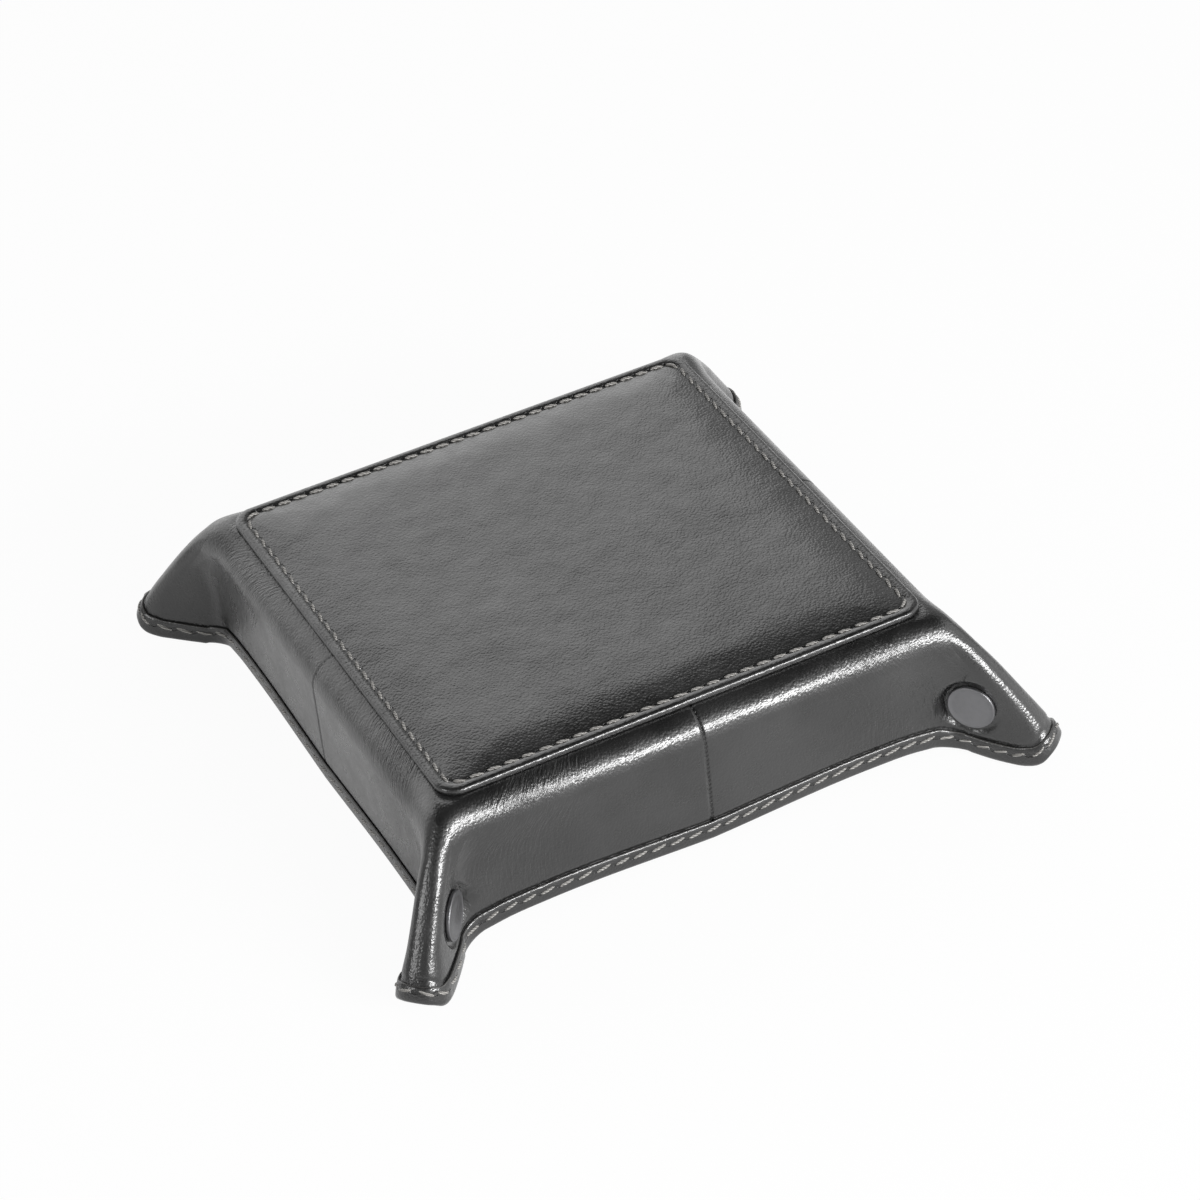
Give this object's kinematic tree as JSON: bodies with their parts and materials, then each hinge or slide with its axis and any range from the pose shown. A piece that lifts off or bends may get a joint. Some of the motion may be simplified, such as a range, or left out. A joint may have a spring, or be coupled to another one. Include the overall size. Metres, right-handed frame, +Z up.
{
  "type": "valet tray",
  "caption": "Square soft-leather valet tray with pinched snap corners, bound rims and a padded stitched base, lying upside down on its ears; the corners open and the walls fold flat.",
  "frame": {"origin": "centre of the footprint, in the plane that the four ears stand on", "axes": "+Z up, from the ears to the padded sole; +X to the right wall; -Y to the front wall, which carries two of the snap caps"},
  "size_m": [0.182, 0.182, 0.0428],
  "materials": {
    "leather": "smooth semi-gloss black leather",
    "lining": "satin black lining leather",
    "binding": "satin black leather folded round the rim and stitched",
    "board": "grey fibre stiffener board",
    "padding": "soft felt pad",
    "thread": "light grey polyester thread",
    "snap_cap": "satin dark lacquered snap cap",
    "snap_metal": "dark nickel snap parts"
  },
  "bodies": {
    "base": {"base_panel": "leather", "base_padding": "padding", "base_stitching": "thread", "base_leather": "leather", "base_board": "board", "base_lining": "lining", "fold_ring": "leather"},
    "front_wall": {"front_wall_leather": "leather", "front_wall_board": "board", "front_wall_lining": "lining", "front_wall_binding": "binding"},
    "right_wall": {"right_wall_leather": "leather", "right_wall_board": "board", "right_wall_lining": "lining", "right_wall_binding": "binding"},
    "back_wall": {"back_wall_leather": "leather", "back_wall_board": "board", "back_wall_lining": "lining", "back_wall_binding": "binding"},
    "left_wall": {"left_wall_leather": "leather", "left_wall_board": "board", "left_wall_lining": "lining", "left_wall_binding": "binding"},
    "front_right_cap_flap": {"front_right_cap_flap": "leather", "front_right_snap_cap": "snap_cap", "front_right_snap_socket": "snap_metal"},
    "front_right_cap_nose": {"front_right_cap_nose": "leather"},
    "front_right_stud_flap": {"front_right_stud_flap": "leather", "front_right_snap_stud": "snap_metal", "front_right_snap_post": "snap_metal"},
    "front_right_stud_nose": {"front_right_stud_nose": "leather"},
    "front_left_cap_flap": {"front_left_cap_flap": "leather", "front_left_snap_cap": "snap_cap", "front_left_snap_socket": "snap_metal"},
    "front_left_cap_nose": {"front_left_cap_nose": "leather"},
    "front_left_stud_flap": {"front_left_stud_flap": "leather", "front_left_snap_stud": "snap_metal", "front_left_snap_post": "snap_metal"},
    "front_left_stud_nose": {"front_left_stud_nose": "leather"},
    "back_right_cap_flap": {"back_right_cap_flap": "leather", "back_right_snap_cap": "snap_cap", "back_right_snap_socket": "snap_metal"},
    "back_right_cap_nose": {"back_right_cap_nose": "leather"},
    "back_right_stud_flap": {"back_right_stud_flap": "leather", "back_right_snap_stud": "snap_metal", "back_right_snap_post": "snap_metal"},
    "back_right_stud_nose": {"back_right_stud_nose": "leather"},
    "back_left_cap_flap": {"back_left_cap_flap": "leather", "back_left_snap_cap": "snap_cap", "back_left_snap_socket": "snap_metal"},
    "back_left_cap_nose": {"back_left_cap_nose": "leather"},
    "back_left_stud_flap": {"back_left_stud_flap": "leather", "back_left_snap_stud": "snap_metal", "back_left_snap_post": "snap_metal"},
    "back_left_stud_nose": {"back_left_stud_nose": "leather"}
  },
  "joints": [
    {"name": "front_wall_fold", "type": "hinge", "parent": "base", "child": "front_wall", "pos_m": [0, -0.06909, 0.03789], "axis": [-1, 0, 0], "range_deg": [0, 90], "deforming": ["fold_ring"]},
    {"name": "right_wall_fold", "type": "hinge", "parent": "base", "child": "right_wall", "pos_m": [0.06909, 0, 0.03789], "axis": [0, -1, 0], "range_deg": [0, 90.01]},
    {"name": "back_wall_fold", "type": "hinge", "parent": "base", "child": "back_wall", "pos_m": [0, 0.06909, 0.03789], "axis": [1, 0, 0], "range_deg": [0, 90.01]},
    {"name": "left_wall_fold", "type": "hinge", "parent": "base", "child": "left_wall", "pos_m": [-0.06909, 0, 0.03789], "axis": [0, 1, 0], "range_deg": [0, 90.01]},
    {"name": "front_right_cap_flap_fold", "type": "hinge", "parent": "front_wall", "child": "front_right_cap_flap", "pos_m": [0.06667, -0.0712, 0.04], "axis": [0, 0, 1], "range_deg": [0, 50.51]},
    {"name": "front_right_cap_nose_fold", "type": "hinge", "parent": "front_right_cap_flap", "child": "front_right_cap_nose", "pos_m": [0.06667, -0.0712, 0.03578], "axis": [0.4204, -0.51, -0.7505], "range_deg": [0, 94.14]},
    {"name": "front_right_stud_flap_fold", "type": "hinge", "parent": "right_wall", "child": "front_right_stud_flap", "pos_m": [0.0712, -0.06667, 0.04], "axis": [0, 0, -1], "range_deg": [0, 50.51]},
    {"name": "front_right_stud_nose_fold", "type": "hinge", "parent": "front_right_stud_flap", "child": "front_right_stud_nose", "pos_m": [0.0712, -0.06667, 0.03578], "axis": [-0.51, 0.4204, 0.7505], "range_deg": [0, 94.14]},
    {"name": "front_left_cap_flap_fold", "type": "hinge", "parent": "front_wall", "child": "front_left_cap_flap", "pos_m": [-0.06667, -0.0712, 0.04], "axis": [0, 0, -1], "range_deg": [0, 50.51]},
    {"name": "front_left_cap_nose_fold", "type": "hinge", "parent": "front_left_cap_flap", "child": "front_left_cap_nose", "pos_m": [-0.06667, -0.0712, 0.03578], "axis": [0.4204, 0.51, 0.7505], "range_deg": [0, 94.14]},
    {"name": "front_left_stud_flap_fold", "type": "hinge", "parent": "left_wall", "child": "front_left_stud_flap", "pos_m": [-0.0712, -0.06667, 0.04], "axis": [0, 0, 1], "range_deg": [0, 50.51]},
    {"name": "front_left_stud_nose_fold", "type": "hinge", "parent": "front_left_stud_flap", "child": "front_left_stud_nose", "pos_m": [-0.0712, -0.06667, 0.03578], "axis": [-0.51, -0.4204, -0.7505], "range_deg": [0, 94.14]},
    {"name": "back_right_cap_flap_fold", "type": "hinge", "parent": "back_wall", "child": "back_right_cap_flap", "pos_m": [0.06667, 0.0712, 0.04], "axis": [0, 0, -1], "range_deg": [0, 50.51]},
    {"name": "back_right_cap_nose_fold", "type": "hinge", "parent": "back_right_cap_flap", "child": "back_right_cap_nose", "pos_m": [0.06667, 0.0712, 0.03578], "axis": [-0.4204, -0.51, 0.7505], "range_deg": [0, 94.14]},
    {"name": "back_right_stud_flap_fold", "type": "hinge", "parent": "right_wall", "child": "back_right_stud_flap", "pos_m": [0.0712, 0.06667, 0.04], "axis": [0, 0, 1], "range_deg": [0, 50.51]},
    {"name": "back_right_stud_nose_fold", "type": "hinge", "parent": "back_right_stud_flap", "child": "back_right_stud_nose", "pos_m": [0.0712, 0.06667, 0.03578], "axis": [0.51, 0.4204, -0.7505], "range_deg": [0, 94.14]},
    {"name": "back_left_cap_flap_fold", "type": "hinge", "parent": "back_wall", "child": "back_left_cap_flap", "pos_m": [-0.06667, 0.0712, 0.04], "axis": [0, 0, 1], "range_deg": [0, 50.51]},
    {"name": "back_left_cap_nose_fold", "type": "hinge", "parent": "back_left_cap_flap", "child": "back_left_cap_nose", "pos_m": [-0.06667, 0.0712, 0.03578], "axis": [-0.4204, 0.51, -0.7505], "range_deg": [0, 94.14]},
    {"name": "back_left_stud_flap_fold", "type": "hinge", "parent": "left_wall", "child": "back_left_stud_flap", "pos_m": [-0.0712, 0.06667, 0.04], "axis": [0, 0, -1], "range_deg": [0, 50.51]},
    {"name": "back_left_stud_nose_fold", "type": "hinge", "parent": "back_left_stud_flap", "child": "back_left_stud_nose", "pos_m": [-0.0712, 0.06667, 0.03578], "axis": [0.51, -0.4204, 0.7505], "range_deg": [0, 94.14]}
  ],
  "couplings": [
    {"joint": "right_wall_fold", "follows": "front_wall_fold", "ratio": 1},
    {"joint": "back_wall_fold", "follows": "front_wall_fold", "ratio": 1},
    {"joint": "left_wall_fold", "follows": "front_wall_fold", "ratio": 1},
    {"joint": "front_right_cap_flap_fold", "follows": "front_wall_fold", "ratio": 0.56111},
    {"joint": "front_right_cap_nose_fold", "follows": "front_wall_fold", "ratio": 1.0459},
    {"joint": "front_right_stud_flap_fold", "follows": "front_wall_fold", "ratio": 0.56111},
    {"joint": "front_right_stud_nose_fold", "follows": "front_wall_fold", "ratio": 1.0459},
    {"joint": "front_left_cap_flap_fold", "follows": "front_wall_fold", "ratio": 0.56111},
    {"joint": "front_left_cap_nose_fold", "follows": "front_wall_fold", "ratio": 1.0459},
    {"joint": "front_left_stud_flap_fold", "follows": "front_wall_fold", "ratio": 0.56111},
    {"joint": "front_left_stud_nose_fold", "follows": "front_wall_fold", "ratio": 1.0459},
    {"joint": "back_right_cap_flap_fold", "follows": "front_wall_fold", "ratio": 0.56111},
    {"joint": "back_right_cap_nose_fold", "follows": "front_wall_fold", "ratio": 1.0459},
    {"joint": "back_right_stud_flap_fold", "follows": "front_wall_fold", "ratio": 0.56111},
    {"joint": "back_right_stud_nose_fold", "follows": "front_wall_fold", "ratio": 1.0459},
    {"joint": "back_left_cap_flap_fold", "follows": "front_wall_fold", "ratio": 0.56111},
    {"joint": "back_left_cap_nose_fold", "follows": "front_wall_fold", "ratio": 1.0459},
    {"joint": "back_left_stud_flap_fold", "follows": "front_wall_fold", "ratio": 0.56111},
    {"joint": "back_left_stud_nose_fold", "follows": "front_wall_fold", "ratio": 1.0459}
  ]
}
